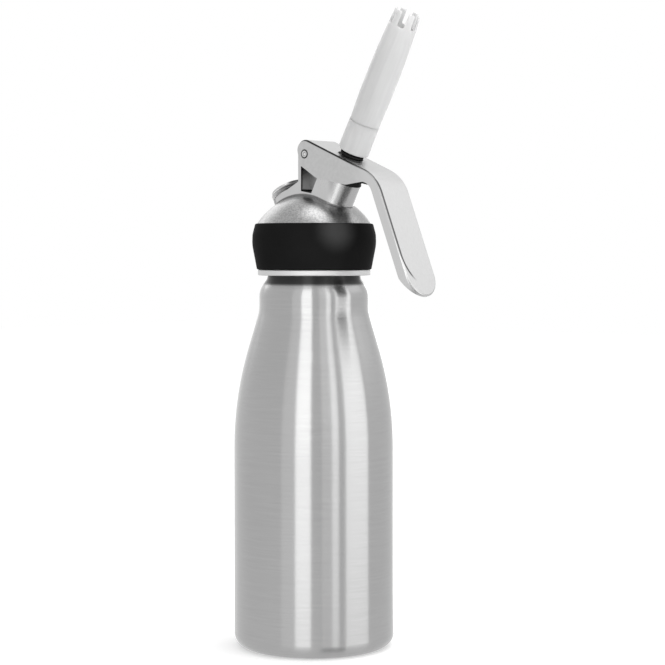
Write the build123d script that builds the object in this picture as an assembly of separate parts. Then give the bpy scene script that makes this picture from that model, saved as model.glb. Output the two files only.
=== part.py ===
from build123d import *
from math import cos, hypot, radians, sin, sqrt, tan
import os

# Whipped cream dispenser: steel bottle, cast head with a sprung valve and a charger port,
# squeeze lever and a white decorator tip.  Millimetres.  The origin is the centre of the
# base, +Z runs up the bottle and the lever's handle reaches towards +X.

# ---------------------------------------------------------------- bottle
BOTTLE_HEIGHT = 198.0    # base to mouth; the head is placed from the mouth
BODY_R = 39.5            # outer radius of the straight body
SHOULDER_R = 27.0        # outer radius of the band below the neck
NECK_R = 22.8            # outer radius of the neck tube
BOTTLE_WALL = 1.2
BASE_ROUND = 6.8
BASE_STAND = 2.7         # width of the flat ring that the bottle stands on
BASE_RIM_R = BODY_R - BASE_ROUND - BASE_STAND
BASE_PUSH_R = BASE_RIM_R - 3.5   # the pushed-up floor lies inside this radius
BASE_PUSH = 2.5
TAPER_TOP_Z = BOTTLE_HEIGHT - 32.6   # where the taper line would meet the band below the neck
TAPER_ANGLE = 16.5       # lean of the taper, degrees from the vertical
TAPER_TOP_ROUND = 17.0
TAPER_CONVEX_ROUND = 174.0
SHOULDER_TOP_Z = BOTTLE_HEIGHT - 22.3
SHOULDER_ROUND = 9.5
SHOULDER_DROP = 6.0      # height over which the shoulder closes to the neck
NECK_ROUND = 4.8
THREAD_PITCH = 4.0
THREAD_DEPTH = 1.1
THREAD_START_Z = BOTTLE_HEIGHT - 12.8
THREAD_TURNS = 2.25
THREAD_ROOT_WIDTH = 2.4
THREAD_CREST_WIDTH = 1.1
THREAD_SINK = 0.3        # how far each ridge is rooted in the wall that carries it

# ---------------------------------------------------------------- head casting
RIM_R = 27.7             # bright rim under the grip band
RIM_BOTTOM_Z = BOTTLE_HEIGHT - 15.0
RIM_TOP_Z = RIM_BOTTOM_Z + 2.8
GROOVE_R = 26.8          # seat of the grip band
BAND_TOP_Z = BOTTLE_HEIGHT + 10.4
DOME_R = 33.5
DOME_TOP_Z = BOTTLE_HEIGHT + 25.5    # crown of the dome, under the block
DOME_CENTRE_Z = DOME_TOP_Z - DOME_R
DOME_WALL = 4.0
SKIRT_CLEARANCE = 0.4    # radial gap between the skirt bore and the bottle's thread
SHELF_Z = BOTTLE_HEIGHT + 3.0        # underside that presses the gasket
CAVITY_R = 19.5
RIM_ROUND = 0.6
BAND_BOTTOM_R = 28.15
BAND_BELLY_R = 30.5
BAND_BELLY_Z = BOTTLE_HEIGHT + 0.2
BAND_BROW_R = 30.35
BAND_BROW_Z = BOTTLE_HEIGHT + 5.0
BAND_TOP_R = 28.95
BAND_EDGE_ROUND = 0.8
BAND_BELLY_ROUND = 18.0
BAND_BROW_ROUND = 8.0
BAND_FIT = 0.05
GASKET_HEIGHT = 2.8
GASKET_FIT = 0.15

# ---------------------------------------------------------------- the two slanted axes
CROSS_Z = BOTTLE_HEIGHT - 3.2        # where the nozzle and port axes cross the bottle's axis
NOZZLE_TILT = 27.5       # degrees from +Z towards +X
PORT_TILT = 27.5         # degrees from +Z towards -X
BLOCK_HALF = 9.7         # half width of the head block, and radius of both bosses
BOSS_TOP = 39.5          # end of the valve boss, measured along the nozzle axis
BLOCK_PORT_END = 31.0    # end of the block, measured along the port axis
BLOCK_ROOT = 20.0        # where the block starts inside the dome, along either axis

# ---------------------------------------------------------------- pivot tower
PIVOT_X = 3.2
PIVOT_Z = BOTTLE_HEIGHT + 44.0
PIN_R = 2.2
KNUCKLE_R = 5.0
TOWER_REAR_X = -1.9
TOWER_FRONT_X = 8.6
REAR_WALL = 1.8
POCKET_DEPTH = 7.0       # depth of the pocket in each side of the tower
POCKET_FLOOR_Z = DOME_TOP_Z + 0.6
POCKET_TOP_Z = PIVOT_Z - 3.8
POCKET_FLOOR_SLOPE = -10.0
POCKET_TOP_SLOPE = -32.0
POCKET_FRONT = -7.2      # front wall of the pocket, across the nozzle axis
BLEND = 0.6              # cast fillet where the block meets the dome

# ---------------------------------------------------------------- lever
LEVER_WALL = 1.05
CHEEK_CLEARANCE = 0.15   # gap between a cheek and the block's flat side
LEVER_WIDTH = 2 * (BLOCK_HALF + CHEEK_CLEARANCE + LEVER_WALL)
LEVER_TOP_SLOPE = 23.0   # fall of the top plate towards +X, degrees
LEVER_TOP_RISE = 6.7     # distance of the plate's outer face from the pivot
LEVER_REAR_LEAN = 16.3
LEVER_REAR_ROUND = 4.9
HANDLE_LEAN = 21.7       # lean of the handle, degrees from the vertical
BEND_X = 47.7            # corner of the top plate's line and the handle's line
BEND_ROUND = 20.0
HANDLE_LENGTH = 60.8     # from that corner to the tip
HANDLE_DEPTH = 5.0       # depth of the handle's flange
TIP_DEPTH = 1.3          # what is left of the flange at the handle's tip
TIP_SLANT_ROUND = 6.0
LEVER_EDGE_ROUND = 0.9
CHEEK_REAR_DROP = 5.2    # rear lower corner of the cheek, below and behind the pivot
CHEEK_REAR_BACK = 3.1
CHEEK_STEP_X = 10.6
CHEEK_STEP_Z = PIVOT_Z - 11.8
CHEEK_LOW_X = 28.9
CHEEK_LOW_Z = PIVOT_Z - 15.5
CHEEK_THROAT_Z = PIVOT_Z - 13.6
CHEEK_LOW_ROUND = 6.0
THROAT_ROUND = 7.0
LEVER_HOLE_R = 6.4
LEVER_HOLE_SHIFT = 0.4   # set back from the hub, because the squeeze swings the hole forward over it
PIN_RUNNING_FIT = 0.05
PIN_PROUD = 0.15
PIN_DIMPLE_R = 0.9
PIN_EDGE = 0.25

# ---------------------------------------------------------------- valve, along the nozzle axis
HOUSING_R = 8.2
HOUSING_END = 16.0       # lower end of the valve housing
SEAT_RING_R = 7.3
SEAT_RING_BORE = 4.6
SEAT_RING_HEIGHT = 2.2
CHAMBER_R = 4.9
GUIDE_START = 24.0
GUIDE_R = 5.4
GUIDE_FLANGE_R = 7.2
GUIDE_FLANGE = 1.2
SPRING_CHAMBER_START = 30.0
SPRING_CHAMBER_R = 7.5
STEM_R = 3.2
STEM_BORE_R = 1.9
STEM_BORE_START = 17.0
STEM_CROSS_HOLE_R = 1.1
STEM_CROSS_HOLE_AT = 18.9
STEM_FLANGE_R = 6.6
STEM_FLANGE = 1.0
GLAND_R = 9.4
GLAND_HEIGHT = 2.9
GLAND_SPIGOT = 1.4
SEAL_R = 6.0
SEAL_HEIGHT = 3.3
SEAT_GAP = 0.1
RETAINER_ACROSS = 7.0
RETAINER_HEIGHT = 2.6
O_RING_WIRE_R = 0.8
PART_FIT = 0.03          # clearance between pieces that are screwed or pressed together
SLIDE_FIT = 0.08         # radial running clearance of the stem
SPRING_WIRE_R = 0.4
SPRING_TURNS = 3.5
SPRING_END_GAP = 0.05

# ---------------------------------------------------------------- nozzle adapter and tip
COLLAR_R = 9.5           # pressure collar under the lever's plate
COLLAR_HEIGHT = 4.6
COLLAR_ROOF = 5.0        # slope of the collar's top either side of its ridge
PLATE_GAP = 0.1
ADAPTER_HUB_R = 4.8
ADAPTER_FLANGE_R = 5.8
ADAPTER_FLANGE = 0.75
ADAPTER_THREAD_R = 4.6
ADAPTER_THREAD_LENGTH = 7.0
ADAPTER_THREAD_DEPTH = 0.45
ADAPTER_PITCH = 1.5
TIP_BASE = 54.2          # lower face of the tip, along the nozzle axis
WASHER_R = 5.8
WASHER_HEIGHT = 1.1
TIP_COLLAR_LENGTH = 15.2
TIP_COLLAR_BASE_R = 7.65
TIP_COLLAR_TOP_R = 7.5
TIP_LENGTH = 72.2        # whole tip, collar and body
TIP_BODY_BASE_R = 7.3
TIP_BODY_MID_R = 7.75
TIP_BODY_MID = 16.0      # height of the fullest ring above the collar
TIP_MOUTH_R = 6.35
TIP_WALL = 1.15
TIP_TEETH = 6
TIP_SLOT_DEPTH = 7.0
TIP_SLOT_WIDTH = 3.4
TIP_SLOT_FLOOR_ROUND = 0.7
TIP_PLUG_LENGTH = 5.0    # spigot of the body inside the collar
TIP_PLUG_R = 6.2
TIP_BASE_ROUND = 0.8
TIP_THREAD_FIT = 0.1

# ---------------------------------------------------------------- charger port, along its axis
PORT_RIM = 35.2
PORT_BORE_R = 6.0
PORT_SPIGOT_R = 7.4
PORT_SPIGOT_END = 26.5
PORT_THREAD_PITCH = 1.25
PORT_THREAD_DEPTH = 0.5
PORT_NECK = 0.9          # plain undercut at the root of the port's thread
PORT_NECK_R = 9.0
PIN_HOLDER_R = 5.9
PIN_HOLDER_HEIGHT = 2.4
NEEDLE_R = 1.3
NEEDLE_TOP = 33.6
NEEDLE_POINT = 1.8
NEEDLE_BORE_R = 0.5
CHARGER_SEAL_BORE_R = 2.6
CHARGER_SEAL_HEIGHT = 2.0
GAS_CHANNEL_R = 1.6
INLET_HOUSING_END = 19.0
INLET_BORE_R = 3.9
INLET_BORE_TOP = 24.0
INLET_HEX_ACROSS = 9.0
INLET_HEX_HEIGHT = 3.4
INLET_NOSE_R = 2.4
INLET_NOSE_LENGTH = 3.4
INLET_SLEEVE_R = 3.6
INLET_HOLE_R = 0.8
INLET_CROSS_HOLE_R = 0.6

OVERCUT = 5.0            # how far cutters run past the faces they open
FAR = 200.0              # longer than any stretch of the part


# ================================================================ shared helpers
def tilted_plane(tilt):
    """Plane whose local Z is the slanted axis, from the point where it crosses the bottle's."""
    t = radians(tilt)
    return Plane(origin=(0, 0, CROSS_Z), x_dir=(cos(t), 0, -sin(t)), z_dir=(sin(t), 0, cos(t)))


NOZZLE = tilted_plane(NOZZLE_TILT)
PORT = tilted_plane(-PORT_TILT)


def turned(points, radii=None):
    """Solid of revolution about Z from (radius, height) points, with optional corner rounds."""
    if radii is None:
        outline = Polyline(*points, close=True)
    else:
        outline = FilletPolyline(*points, radius=radii, close=True)
    return revolve(make_face(Plane.XZ * outline), Axis.Z)


def tube(outer, inner, low, high):
    return turned([(inner, low), (outer, low), (outer, high), (inner, high)])


def rod(radius, low, high):
    return turned([(0, low), (radius, low), (radius, high), (0, high)])


def side_prism(points, half_width, radii=None):
    """Prism across the part, symmetric about the XZ plane, from (x, z) points."""
    if radii is None:
        outline = Polyline(*points, close=True)
    else:
        outline = FilletPolyline(*points, radius=radii, close=True)
    return extrude(make_face(Plane.XZ * outline), half_width, both=True)


def helical_ridge(root_r, depth, pitch, start, turns, root_width, crest_width):
    """Screw thread ridge standing out of a cylinder of radius root_r."""
    path = Helix(pitch=pitch, height=pitch * turns, radius=root_r)
    half_root = root_width / 2
    half_crest = crest_width / 2
    section = make_face(Plane.XZ * Polyline(
        (root_r - THREAD_SINK, -half_root), (root_r + depth, -half_crest),
        (root_r + depth, half_crest), (root_r - THREAD_SINK, half_root), close=True))
    return Pos(0, 0, start) * sweep(section, path=path, is_frenet=True)


def axis_point(plane, across, along):
    """(x, z) of a point given across and along one of the slanted axes."""
    p = plane.from_local_coords((across, 0, along))
    return (p.X, p.Z)


def line_meet(p, p_angle, q, q_angle):
    """Where two lines meet in (x, z); angles are degrees above +X."""
    px, pz = p
    qx, qz = q
    pc, ps = cos(radians(p_angle)), sin(radians(p_angle))
    qc, qs = cos(radians(q_angle)), sin(radians(q_angle))
    reach = ((qx - px) * qs - (qz - pz) * qc) / (pc * qs - ps * qc)
    return (px + reach * pc, pz + reach * ps)


def inset_corners(points, inset):
    """Corners of the line that runs inside an open (radius, height) line by a wall's thickness."""
    sides = []
    for (r0, z0), (r1, z1) in zip(points, points[1:]):
        length = hypot(r1 - r0, z1 - z0)
        shift_r = -(z1 - z0) / length * inset
        shift_z = (r1 - r0) / length * inset
        sides.append(((r0 + shift_r, z0 + shift_z), (r1 + shift_r, z1 + shift_z)))
    inner = [sides[0][0]]
    for (a, b), (c, d) in zip(sides, sides[1:]):
        cross = (b[0] - a[0]) * (d[1] - c[1]) - (b[1] - a[1]) * (d[0] - c[0])
        t = ((c[0] - a[0]) * (d[1] - c[1]) - (c[1] - a[1]) * (d[0] - c[0])) / cross
        inner.append((a[0] + t * (b[0] - a[0]), a[1] + t * (b[1] - a[1])))
    inner.append(sides[-1][1])
    return inner


def save(shape, name):
    export_step(shape, os.path.join("parts", name + ".step"))


# ================================================================ bottle
def bottle_shell():
    taper_low_z = TAPER_TOP_Z - (BODY_R - SHOULDER_R) / tan(radians(TAPER_ANGLE))
    line = [(0, BASE_PUSH), (BASE_PUSH_R, BASE_PUSH), (BASE_RIM_R, 0), (BODY_R, 0),
            (BODY_R, taper_low_z), (SHOULDER_R, TAPER_TOP_Z), (SHOULDER_R, SHOULDER_TOP_Z),
            (NECK_R, SHOULDER_TOP_Z + SHOULDER_DROP), (NECK_R, BOTTLE_HEIGHT)]
    outer_rounds = [BOTTLE_WALL, BOTTLE_WALL, BASE_ROUND, TAPER_CONVEX_ROUND, TAPER_TOP_ROUND,
                    SHOULDER_ROUND, NECK_ROUND]
    inner_rounds = [2 * BOTTLE_WALL, 2 * BOTTLE_WALL, BASE_ROUND - BOTTLE_WALL,
                    TAPER_CONVEX_ROUND - BOTTLE_WALL, TAPER_TOP_ROUND + BOTTLE_WALL,
                    SHOULDER_ROUND - BOTTLE_WALL, NECK_ROUND + BOTTLE_WALL]
    outside = filled_revolve(line, outer_rounds)
    inside = filled_revolve(inset_corners(line, BOTTLE_WALL), inner_rounds)
    thread = helical_ridge(NECK_R, THREAD_DEPTH, THREAD_PITCH, THREAD_START_Z, THREAD_TURNS,
                           THREAD_ROOT_WIDTH, THREAD_CREST_WIDTH)
    return outside - inside + thread


def filled_revolve(line, rounds):
    """Revolve the area between an open (radius, height) line and the axis."""
    (first_r, first_z), (last_r, last_z) = line[0], line[-1]
    edge = FilletPolyline(*line, radius=rounds)
    back = Polyline((last_r, last_z), (0, last_z), (0, first_z))
    return revolve(make_face(Plane.XZ * Wire([*edge.edges(), *back.edges()])), Axis.Z)


# ================================================================ head
def domed_turn(sphere_r, points):
    """Turned body under a sphere about the dome's centre; points run from the axis up the wall."""
    wall_r = points[-1][0]
    half = wall_r / 2
    foot = (wall_r, DOME_CENTRE_Z + sqrt(sphere_r ** 2 - wall_r ** 2))
    crown = (half, DOME_CENTRE_Z + sqrt(sphere_r ** 2 - half ** 2))
    top = (0, DOME_CENTRE_Z + sphere_r)
    wall = Polyline(*points, foot)
    arc = ThreePointArc(foot, crown, top)
    return revolve(make_face(Plane.XZ * Wire([*wall.edges(), arc.edge(), Line(top, points[0]).edge()])),
                   Axis.Z)


def dome_and_skirt():
    groove_top = BAND_TOP_Z
    dome_foot_r = sqrt(DOME_R ** 2 - (groove_top - DOME_CENTRE_Z) ** 2)
    shell = domed_turn(DOME_R, [(0, RIM_TOP_Z), (GROOVE_R, RIM_TOP_Z), (GROOVE_R, groove_top),
                                (dome_foot_r - PART_FIT, groove_top)])
    rim = turned([(0, RIM_BOTTOM_Z), (RIM_R, RIM_BOTTOM_Z), (RIM_R, RIM_TOP_Z), (0, RIM_TOP_Z)],
                 [0, RIM_ROUND, RIM_ROUND, 0])
    return shell + rim


def cavity():
    """Hollow of the head above the gasket shelf, and the bore that takes the bottle's neck."""
    bore_r = NECK_R + THREAD_DEPTH + SKIRT_CLEARANCE
    low = RIM_BOTTOM_Z - OVERCUT
    return domed_turn(DOME_R - DOME_WALL, [(0, low), (bore_r, low), (bore_r, SHELF_Z),
                                           (CAVITY_R, SHELF_Z)])


def block_and_tower():
    port_end = axis_point(PORT, 0, BLOCK_PORT_END)
    boss_top = axis_point(NOZZLE, 0, BOSS_TOP)
    rear_meet = line_meet(port_end, PORT_TILT, (TOWER_REAR_X, PIVOT_Z), 90)
    front_meet = line_meet(boss_top, 180 - NOZZLE_TILT, (TOWER_FRONT_X, PIVOT_Z), 90)
    block = side_prism([axis_point(PORT, 0, BLOCK_ROOT), port_end, rear_meet,
                        (TOWER_REAR_X, PIVOT_Z), (PIVOT_X + KNUCKLE_R, PIVOT_Z), front_meet, boss_top,
                        axis_point(NOZZLE, 0, BLOCK_ROOT)], BLOCK_HALF)
    knuckle = Plane.XZ * Pos(PIVOT_X, PIVOT_Z, 0) * Cylinder(KNUCKLE_R, 2 * BLOCK_HALF)
    boss = NOZZLE * rod(BLOCK_HALF, BLOCK_ROOT, BOSS_TOP)
    port = PORT * rod(BLOCK_HALF, BLOCK_ROOT, BLOCK_PORT_END)
    return block + knuckle - tower_pockets() + boss + port


def tower_pockets():
    """Side pockets between the tower's rear wall and the valve boss."""
    floor_rear = (TOWER_REAR_X + REAR_WALL, POCKET_FLOOR_Z)
    top_rear = (TOWER_REAR_X + REAR_WALL, POCKET_TOP_Z)
    front = axis_point(NOZZLE, POCKET_FRONT, BLOCK_ROOT)
    lean = 90 - NOZZLE_TILT
    profile = [floor_rear, line_meet(floor_rear, POCKET_FLOOR_SLOPE, front, lean),
               line_meet(top_rear, POCKET_TOP_SLOPE, front, lean), top_rear]
    through = side_prism(profile, BLOCK_HALF + OVERCUT)
    web = side_prism(profile, BLOCK_HALF - POCKET_DEPTH)
    return through - web


def block_root_edges(head):
    """Edges that the block and the bosses share with the dome."""
    centre = Vector(0, 0, DOME_CENTRE_Z)
    return head.edges().filter_by(
        lambda edge: all(abs((edge @ at - centre).length - DOME_R) < PART_FIT for at in (0, 0.5, 1))
        and (edge @ 0.5).Z > BAND_TOP_Z + BLEND)


def head_casting():
    solid = dome_and_skirt() + block_and_tower()
    head = fillet(block_root_edges(solid), BLEND) - cavity()
    head += NOZZLE * rod(HOUSING_R, HOUSING_END, SPRING_CHAMBER_START)
    head += PORT * rod(HOUSING_R, INLET_HOUSING_END, PORT_SPIGOT_END)
    head -= NOZZLE * valve_bores()
    head -= PORT * port_bores()
    head -= Plane.XZ * Pos(PIVOT_X, PIVOT_Z, 0) * Cylinder(PIN_R + PART_FIT, 2 * BLOCK_HALF + OVERCUT)
    return head


def valve_bores():
    return (rod(SEAT_RING_R + PART_FIT, HOUSING_END - OVERCUT, HOUSING_END + SEAT_RING_HEIGHT)
            + rod(CHAMBER_R, HOUSING_END, GUIDE_START)
            + rod(GUIDE_R + PART_FIT, GUIDE_START, SPRING_CHAMBER_START)
            + rod(SPRING_CHAMBER_R, SPRING_CHAMBER_START, BOSS_TOP + OVERCUT))


def port_bores():
    return (rod(PORT_SPIGOT_R + PART_FIT, PORT_SPIGOT_END, PORT_RIM + OVERCUT)
            + rod(GAS_CHANNEL_R, INLET_HOUSING_END, PORT_SPIGOT_END + PART_FIT)
            + rod(INLET_BORE_R, INLET_HOUSING_END - OVERCUT, INLET_BORE_TOP))


def grip_band():
    low = RIM_TOP_Z + BAND_FIT
    high = BAND_TOP_Z - BAND_FIT
    inner = GROOVE_R + BAND_FIT
    return turned([(inner, low), (BAND_BOTTOM_R, low), (BAND_BELLY_R, BAND_BELLY_Z),
                   (BAND_BROW_R, BAND_BROW_Z), (BAND_TOP_R, high), (inner, high)],
                  [0, BAND_EDGE_ROUND, BAND_BELLY_ROUND, BAND_BROW_ROUND, BAND_EDGE_ROUND, 0])


def head_gasket():
    outer = NECK_R + THREAD_DEPTH + SKIRT_CLEARANCE - GASKET_FIT
    inner = CAVITY_R + GASKET_FIT
    return tube(outer, inner, SHELF_Z - GASKET_HEIGHT, SHELF_Z)


# ================================================================ charger port
def charger_port_sleeve():
    """Threaded sleeve that the charger holder screws onto, seated on the block's port face."""
    root_r = BLOCK_HALF - PORT_THREAD_DEPTH
    neck_top = BLOCK_PORT_END + PORT_NECK
    body = (rod(PORT_NECK_R, BLOCK_PORT_END, neck_top) + rod(root_r, neck_top, PORT_RIM)
            + rod(PORT_SPIGOT_R, PORT_SPIGOT_END, BLOCK_PORT_END))
    ridge_count = int((PORT_RIM - neck_top) / PORT_THREAD_PITCH)
    for turn in range(ridge_count):
        low = neck_top + turn * PORT_THREAD_PITCH
        body += turned([(0, low), (root_r, low), (BLOCK_HALF, low + PORT_THREAD_PITCH / 2),
                        (root_r, low + PORT_THREAD_PITCH), (0, low + PORT_THREAD_PITCH)])
    return PORT * (body - rod(PORT_BORE_R, PORT_SPIGOT_END - OVERCUT, PORT_RIM + OVERCUT))


def piercing_pin():
    """Disc with a hollow needle that opens the gas charger."""
    holder_top = PORT_SPIGOT_END + PIN_HOLDER_HEIGHT
    body = turned([(0, PORT_SPIGOT_END), (PIN_HOLDER_R, PORT_SPIGOT_END), (PIN_HOLDER_R, holder_top),
                   (NEEDLE_R, holder_top), (NEEDLE_R, NEEDLE_TOP - NEEDLE_POINT),
                   (NEEDLE_BORE_R, NEEDLE_TOP), (0, NEEDLE_TOP)])
    return PORT * (body - rod(NEEDLE_BORE_R, PORT_SPIGOT_END - OVERCUT, NEEDLE_TOP + OVERCUT))


def charger_seal():
    low = PORT_SPIGOT_END + PIN_HOLDER_HEIGHT
    return PORT * tube(PIN_HOLDER_R, CHARGER_SEAL_BORE_R, low, low + CHARGER_SEAL_HEIGHT)


def inlet_valve_body():
    """Screw plug under the port: gas leaves through a cross hole that the rubber sleeve covers."""
    hex_low = INLET_HOUSING_END - INLET_HEX_HEIGHT
    nose_low = hex_low - INLET_NOSE_LENGTH
    head = extrude(Pos(0, 0, hex_low) * RegularPolygon(INLET_HEX_ACROSS / 2, 6, major_radius=False),
                   INLET_HEX_HEIGHT)
    body = head + rod(INLET_BORE_R - PART_FIT, INLET_HOUSING_END, INLET_BORE_TOP)
    body += rod(INLET_NOSE_R, nose_low, hex_low)
    hole_at = (nose_low + hex_low) / 2
    body -= rod(INLET_HOLE_R, hole_at, INLET_BORE_TOP + OVERCUT)
    body -= Pos(0, 0, hole_at) * Rot(90, 0, 0) * Cylinder(INLET_CROSS_HOLE_R, 2 * INLET_NOSE_R + OVERCUT)
    return PORT * body


def inlet_valve_sleeve():
    hex_low = INLET_HOUSING_END - INLET_HEX_HEIGHT
    return PORT * tube(INLET_SLEEVE_R, INLET_NOSE_R + PART_FIT, hex_low - INLET_NOSE_LENGTH, hex_low)


# ================================================================ valve
def plate_underside():
    """Distance of the lever plate's inner face along the nozzle axis."""
    slope = radians(LEVER_TOP_SLOPE)
    rise = LEVER_TOP_RISE - LEVER_WALL
    point = (PIVOT_X + rise * sin(slope), PIVOT_Z + rise * cos(slope))
    meet_x, meet_z = line_meet(point, -LEVER_TOP_SLOPE, (0, CROSS_Z), 90 - NOZZLE_TILT)
    return hypot(meet_x, meet_z - CROSS_Z)


def collar_top():
    return plate_underside() - PLATE_GAP


def seal_top():
    return HOUSING_END - SEAT_GAP


def spring_seat():
    return SPRING_CHAMBER_START + GUIDE_FLANGE


def stem_flange_top():
    return BOSS_TOP - GLAND_SPIGOT - SEAT_GAP


def valve_seat_ring():
    return NOZZLE * tube(SEAT_RING_R, SEAT_RING_BORE, HOUSING_END, HOUSING_END + SEAT_RING_HEIGHT)


def valve_guide():
    bore = STEM_R + SLIDE_FIT
    body = (rod(GUIDE_R, GUIDE_START, SPRING_CHAMBER_START)
            + rod(GUIDE_FLANGE_R, SPRING_CHAMBER_START, spring_seat()))
    body -= rod(bore, GUIDE_START - OVERCUT, spring_seat() + OVERCUT)
    return NOZZLE * (body - guide_groove(PART_FIT))


def guide_groove(fit):
    middle = (GUIDE_START + SPRING_CHAMBER_START) / 2
    half = O_RING_WIRE_R + fit
    return tube(STEM_R + SLIDE_FIT + 2 * O_RING_WIRE_R + fit, STEM_R, middle - half, middle + half)


def guide_o_ring():
    middle = (GUIDE_START + SPRING_CHAMBER_START) / 2
    return NOZZLE * Pos(0, 0, middle) * Torus(STEM_R + SLIDE_FIT + O_RING_WIRE_R, O_RING_WIRE_R)


def gland_cap():
    """Black cap that closes the spring chamber and guides the stem."""
    body = (rod(GLAND_R, BOSS_TOP, BOSS_TOP + GLAND_HEIGHT)
            + rod(SPRING_CHAMBER_R - PART_FIT, BOSS_TOP - GLAND_SPIGOT, BOSS_TOP))
    return NOZZLE * (body - rod(STEM_R + SLIDE_FIT, BOSS_TOP - OVERCUT, BOSS_TOP + OVERCUT))


def valve_stem():
    low = seal_top() - SEAL_HEIGHT - RETAINER_HEIGHT
    flange_top = stem_flange_top()
    body = (rod(STEM_R, low, collar_top())
            + rod(STEM_FLANGE_R, flange_top - STEM_FLANGE, flange_top))
    body -= rod(STEM_BORE_R, STEM_BORE_START, collar_top() + OVERCUT)
    for turn in (0, 90):
        body -= Pos(0, 0, STEM_CROSS_HOLE_AT) * Rot(90, 0, turn) * Cylinder(STEM_CROSS_HOLE_R, 3 * STEM_R)
    return NOZZLE * body


def return_spring():
    """Coil between the guide's flange and the flange of the stem."""
    low = spring_seat() + SPRING_WIRE_R + SPRING_END_GAP
    high = stem_flange_top() - STEM_FLANGE - SPRING_WIRE_R - SPRING_END_GAP
    coil_r = (STEM_R + SPRING_CHAMBER_R) / 2
    pitch = (high - low) / SPRING_TURNS
    path = Helix(pitch=pitch, height=high - low, radius=coil_r)
    section = Plane(origin=path @ 0, z_dir=path % 0) * Circle(SPRING_WIRE_R)
    return NOZZLE * Pos(0, 0, low) * sweep(section, path=path, is_frenet=True)


def stem_seal():
    return NOZZLE * tube(SEAL_R, STEM_R + PART_FIT, seal_top() - SEAL_HEIGHT, seal_top())


def seal_retainer():
    low = seal_top() - SEAL_HEIGHT - RETAINER_HEIGHT
    nut = extrude(Pos(0, 0, low) * RegularPolygon(RETAINER_ACROSS / 2, 6, major_radius=False),
                  RETAINER_HEIGHT)
    washer_bore = rod(STEM_R + PART_FIT, low - OVERCUT, low + RETAINER_HEIGHT + OVERCUT)
    flange = rod(SEAL_R - SEAT_GAP, low + RETAINER_HEIGHT / 2, low + RETAINER_HEIGHT)
    return NOZZLE * (nut + flange - washer_bore)


# ================================================================ adapter and tip
def pressure_collar():
    """Ring that the lever's plate pushes; its top is a low roof with the ridge across the lever."""
    top = collar_top()
    bottom = top - COLLAR_HEIGHT
    ring = tube(COLLAR_R, ADAPTER_HUB_R + PART_FIT, bottom, top)
    fall = COLLAR_R * tan(radians(COLLAR_ROOF))
    roof = side_prism([(-COLLAR_R, bottom), (COLLAR_R, bottom), (COLLAR_R, top - fall), (0, top),
                       (-COLLAR_R, top - fall)], COLLAR_R)
    return NOZZLE * (ring & roof)


def adapter_flange_low():
    return TIP_BASE - WASHER_HEIGHT - ADAPTER_FLANGE


def nozzle_adapter():
    """Black threaded piece on the stem: hub in the collar, flange under the washer, tip thread."""
    low = collar_top() - COLLAR_HEIGHT
    flange_low = adapter_flange_low()
    root_r = ADAPTER_THREAD_R - ADAPTER_THREAD_DEPTH
    thread_top = TIP_BASE + ADAPTER_THREAD_LENGTH
    body = (rod(ADAPTER_HUB_R, low, flange_low)
            + rod(ADAPTER_FLANGE_R, flange_low, flange_low + ADAPTER_FLANGE)
            + rod(root_r, flange_low, thread_top))
    for turn in range(int(ADAPTER_THREAD_LENGTH / ADAPTER_PITCH)):
        z = TIP_BASE + turn * ADAPTER_PITCH
        body += turned([(0, z), (root_r, z), (ADAPTER_THREAD_R, z + ADAPTER_PITCH / 2),
                        (root_r, z + ADAPTER_PITCH), (0, z + ADAPTER_PITCH)])
    body -= rod(STEM_R + PART_FIT, low - OVERCUT, collar_top() + PART_FIT)
    return NOZZLE * (body - rod(STEM_BORE_R, low, thread_top + OVERCUT))


def tip_washer():
    bottom = TIP_BASE - WASHER_HEIGHT
    return NOZZLE * tube(WASHER_R, ADAPTER_THREAD_R + PART_FIT, bottom, TIP_BASE - SEAT_GAP)


def tip_plug_low():
    return TIP_BASE + TIP_COLLAR_LENGTH - TIP_PLUG_LENGTH


def tip_collar():
    """Threaded foot of the decorator tip."""
    top = TIP_BASE + TIP_COLLAR_LENGTH
    body = turned([(0, TIP_BASE), (TIP_COLLAR_BASE_R, TIP_BASE), (TIP_COLLAR_TOP_R, top), (0, top)],
                  [0, TIP_BASE_ROUND, 0, 0])
    body -= rod(ADAPTER_THREAD_R + TIP_THREAD_FIT, TIP_BASE - OVERCUT,
                TIP_BASE + ADAPTER_THREAD_LENGTH + TIP_THREAD_FIT)
    body -= rod(STEM_BORE_R, TIP_BASE, top)
    return NOZZLE * (body - rod(TIP_PLUG_R + PART_FIT, tip_plug_low(), top + OVERCUT))


def decorator_tip():
    """Slightly barrelled spout with a slotted mouth, plugged into the tip's foot."""
    collar = TIP_BASE + TIP_COLLAR_LENGTH
    mid = collar + TIP_BODY_MID
    mouth = TIP_BASE + TIP_LENGTH
    outline = Spline((TIP_BODY_BASE_R, collar), (TIP_BODY_MID_R, mid), (TIP_MOUTH_R, mouth))
    inline = Spline((TIP_BODY_BASE_R - TIP_WALL, collar), (TIP_BODY_MID_R - TIP_WALL, mid),
                    (TIP_MOUTH_R - TIP_WALL, mouth))
    body = spun(outline) - spun(inline)
    body += tube(TIP_PLUG_R, TIP_PLUG_R - TIP_WALL, tip_plug_low(), collar + TIP_WALL)
    return NOZZLE * (body - mouth_slots(mouth))


def spun(curve):
    """Revolve the area between a curve, given from bottom to top, and the axis."""
    low, high = curve @ 0, curve @ 1
    back = Polyline((high.X, high.Y), (0, high.Y), (0, low.Y), (low.X, low.Y))
    return revolve(make_face(Plane.XZ * Wire([*curve.edges(), *back.edges()])), Axis.Z)


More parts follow.
